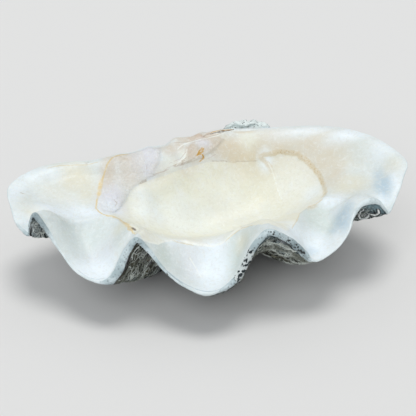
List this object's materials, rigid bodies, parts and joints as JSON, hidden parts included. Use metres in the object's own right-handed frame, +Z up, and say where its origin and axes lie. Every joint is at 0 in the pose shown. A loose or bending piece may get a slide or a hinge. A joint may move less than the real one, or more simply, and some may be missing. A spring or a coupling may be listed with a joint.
{
  "type": "giant clam shell valve",
  "caption": "Half of a giant clam shell lying hollow side up as a shallow bowl, with deep ribs, a scalloped front lip and a hinge at the back.",
  "frame": {"origin": "middle of the shell's bounding box in plan, at the floor that its worn ribs rest on", "axes": "+X along the shell's length, +Y from the scalloped lip to the hinge, +Z up out of the hollow"},
  "size_m": [0.7138, 0.4592, 0.2106],
  "materials": {
    "shell": "porcelain-like cream white inside, chalky weathered grey outside"
  },
  "bodies": {
    "root": {"clam_shell": "shell"}
  },
  "joints": []
}
